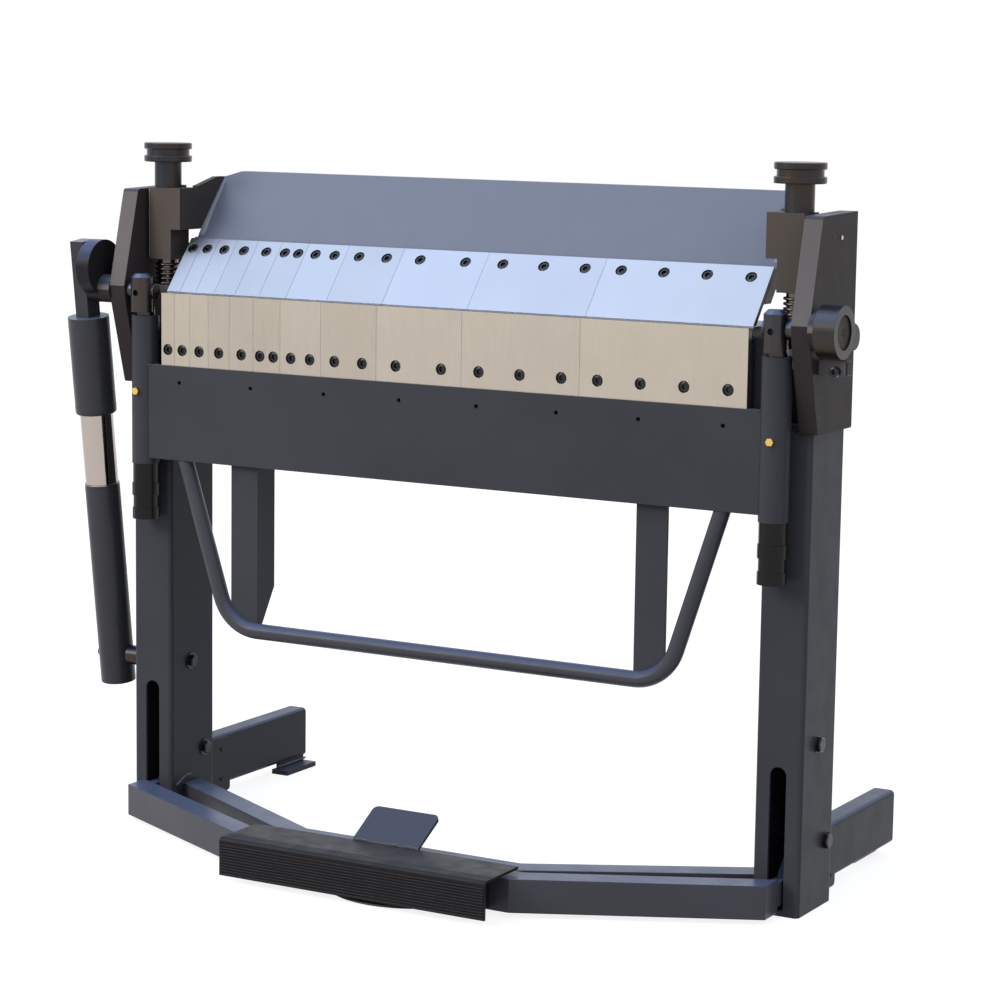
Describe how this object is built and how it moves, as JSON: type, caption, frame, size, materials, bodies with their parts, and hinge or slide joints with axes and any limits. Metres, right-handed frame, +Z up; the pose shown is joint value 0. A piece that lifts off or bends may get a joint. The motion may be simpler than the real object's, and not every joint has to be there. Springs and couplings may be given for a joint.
{
  "type": "sheet metal brake",
  "caption": "Foot-clamped segmented folding brake for sheet metal: hinged folding beam with finger blades, lifting clamp beam, treadle and balance cylinder.",
  "frame": {"origin": "middle of the footprint, on the floor", "axes": "+X along the bending edge to the right as the operator sees it, -Y towards the operator, +Z up"},
  "size_m": [1.3519, 0.704, 1.094],
  "materials": {
    "machine_paint": "satin dark slate paint",
    "plate_paint": "satin dark grey paint",
    "blade_steel": "ground tool steel",
    "pin_steel": "turned steel",
    "black_steel": "black oxide",
    "spring_steel": "oiled spring wire",
    "step_rubber": "ribbed black tread",
    "chrome_tube": "polished tube",
    "sleeve_paint": "black semi gloss"
  },
  "bodies": {
    "frame": {"left_leg": "machine_paint", "right_leg": "machine_paint", "left_side_plate": "plate_paint", "right_side_plate": "plate_paint", "left_boss_ring": "plate_paint", "right_boss_ring": "plate_paint", "bed_beam": "machine_paint", "bed_blades": "blade_steel", "cross_tube": "machine_paint", "floor_disc": "plate_paint", "left_rear_foot": "machine_paint", "right_rear_foot": "machine_paint", "left_treadle_pin": "pin_steel", "right_treadle_pin": "pin_steel", "balance_pin": "pin_steel", "left_spring_seat": "plate_paint", "right_spring_seat": "plate_paint", "left_spring": "spring_steel", "right_spring": "spring_steel", "stop_block": "plate_paint", "left_side_nut": "black_steel", "right_side_nut": "black_steel"},
    "upper_beam": {"upper_beam": "machine_paint", "upper_blades": "blade_steel", "left_end_block": "plate_paint", "right_end_block": "plate_paint"},
    "left_knob": {"left_knob": "black_steel"},
    "right_knob": {"right_knob": "black_steel"},
    "folding_beam": {"apron": "machine_paint", "folding_blades": "blade_steel", "left_end_tube": "machine_paint", "right_end_tube": "machine_paint", "left_pivot_pin": "pin_steel", "right_pivot_pin": "pin_steel", "left_adjusting_nuts": "black_steel", "right_adjusting_nuts": "black_steel", "left_strut": "machine_paint", "right_strut": "machine_paint", "handle_bar": "machine_paint", "stop_collar": "plate_paint", "crank": "plate_paint"},
    "treadle": {"treadle_frame": "machine_paint", "step": "step_rubber", "tongue": "machine_paint"},
    "balance_lower": {"balance_lower": "chrome_tube"},
    "balance_upper": {"balance_upper": "sleeve_paint"}
  },
  "joints": [
    {"name": "fold", "type": "hinge", "parent": "frame", "child": "folding_beam", "pos_m": [0.025, -0.097, 0.861], "axis": [-1, 0, 0], "range_deg": [0, 135]},
    {"name": "clamp_lift", "type": "slide", "parent": "frame", "child": "upper_beam", "axis": [0, 0, 1], "range_m": [0, 0.045], "deforming": ["left_spring", "right_spring"]},
    {"name": "treadle", "type": "hinge", "parent": "frame", "child": "treadle", "pos_m": [0.025, 0.023, 0.098], "axis": [-1, 0, 0], "range_deg": [0, 25.01]},
    {"name": "left_knob_turn", "type": "hinge", "parent": "upper_beam", "child": "left_knob", "pos_m": [-0.525, -0.035, 1.05], "axis": [0, 0, 1], "range_deg": [-180, 180]},
    {"name": "right_knob_turn", "type": "hinge", "parent": "upper_beam", "child": "right_knob", "pos_m": [0.575, -0.035, 1.05], "axis": [0, 0, 1], "range_deg": [-180, 180]},
    {"name": "balance_swing", "type": "hinge", "parent": "frame", "child": "balance_lower", "pos_m": [-0.6425, -0.0205, 0.248], "axis": [-1, 0, 0], "range_deg": [0, 2.42]},
    {"name": "balance_stroke", "type": "slide", "parent": "balance_lower", "child": "balance_upper", "axis": [0, 0.1252, -0.9921], "range_m": [0, 0.0559]}
  ],
  "couplings": [
    {"joint": "treadle", "follows": "clamp_lift", "rad_per_m": 9.6963},
    {"joint": "balance_swing", "follows": "fold", "ratio": 0.017837},
    {"joint": "balance_stroke", "follows": "fold", "m_per_rad": 0.023702}
  ]
}
